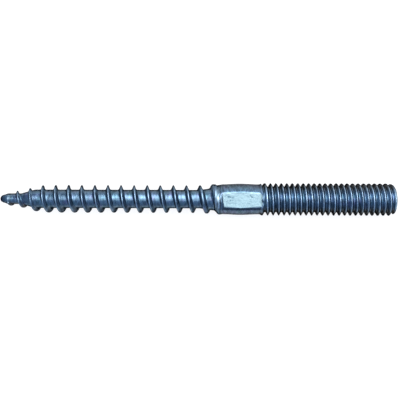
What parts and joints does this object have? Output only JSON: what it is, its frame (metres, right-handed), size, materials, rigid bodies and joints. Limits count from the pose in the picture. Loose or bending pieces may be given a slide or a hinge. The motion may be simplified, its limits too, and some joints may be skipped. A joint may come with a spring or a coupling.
{
  "type": "hanger bolt",
  "caption": "Double-ended steel stud with a coarse wood thread on one end, a machine-thread shank on the other and two wrench flats between them.",
  "frame": {"origin": "on the bolt's axis, in the middle of its length", "axes": "+X along the axis towards the machine-thread end, +Z the outward normal of one wrench flat"},
  "size_m": [0.1142, 0.0094, 0.0094],
  "materials": {
    "zinc_steel": "clear blue-white zinc plating over cold-formed steel"
  },
  "bodies": {
    "root": {"hanger_bolt": "zinc_steel"}
  },
  "joints": []
}
